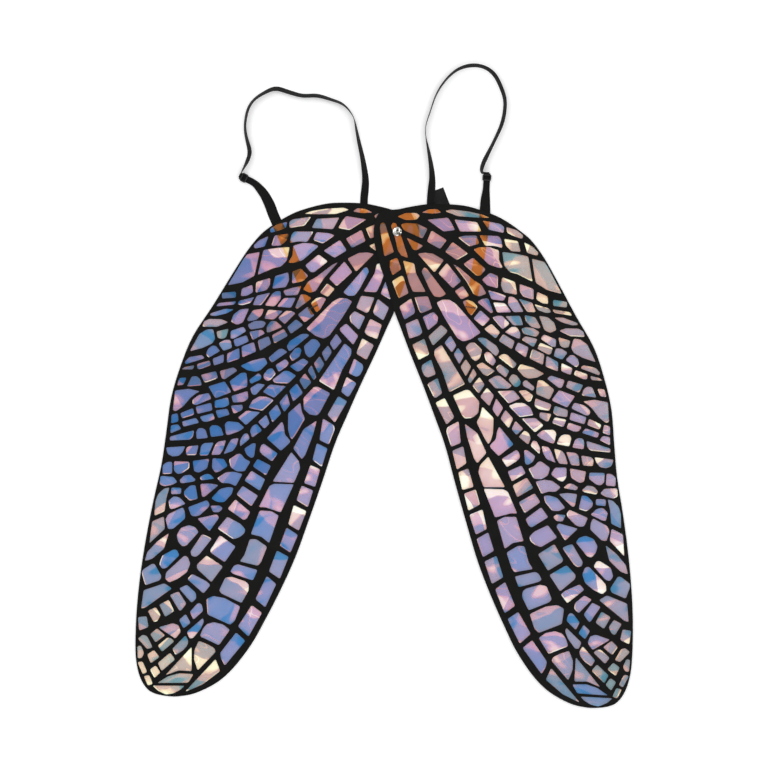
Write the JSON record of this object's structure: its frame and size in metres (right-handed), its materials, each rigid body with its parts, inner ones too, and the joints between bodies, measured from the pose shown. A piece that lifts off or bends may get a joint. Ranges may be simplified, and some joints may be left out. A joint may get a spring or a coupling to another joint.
{
  "type": "fairy wings",
  "caption": "Pair of flat costume wings: iridescent film behind a cut black lattice, turning on one rivet, with elastic arm loops and slide adjusters.",
  "frame": {"origin": "rivet axis, on the surface that the wings lie on (the rivet's back face)", "axes": "+Z out of the shown face, +Y towards the shoulders, +X to the side shown on the right"},
  "size_m": [0.6967, 0.9017, 0.01],
  "materials": {
    "film": "clear iridescent film",
    "lattice": "matte black die-cut sheet",
    "rivet": "polished nickel",
    "elastic": "woven black elastic",
    "slider": "moulded black",
    "thread": "black polyester thread",
    "label": "folded black satin tape"
  },
  "bodies": {
    "root": {"left_film": "film", "left_lattice": "lattice", "rivet_cap": "rivet", "rivet_base": "rivet", "left_arm_strap": "elastic", "left_lower_strap": "elastic", "left_bar_tacks": "thread"},
    "right_wing": {"right_film": "film", "right_lattice": "lattice", "right_arm_strap": "elastic", "right_lower_strap": "elastic", "right_bar_tacks": "thread", "care_label": "label"},
    "left_slider": {"left_slider": "slider"},
    "right_slider": {"right_slider": "slider"}
  },
  "joints": [
    {"name": "wing_pivot", "type": "hinge", "parent": "root", "child": "right_wing", "pos_m": [0, 0, 0.003], "axis": [0, 0, 1], "range_deg": [-40, 15]},
    {"name": "left_slider_run", "type": "slide", "parent": "root", "child": "left_slider", "axis": [0.891, -0.454, 0], "range_m": [0, 0.01]},
    {"name": "right_slider_run", "type": "slide", "parent": "right_wing", "child": "right_slider", "axis": [-0.0523, -0.9986, 0], "range_m": [0, 0.01]}
  ]
}
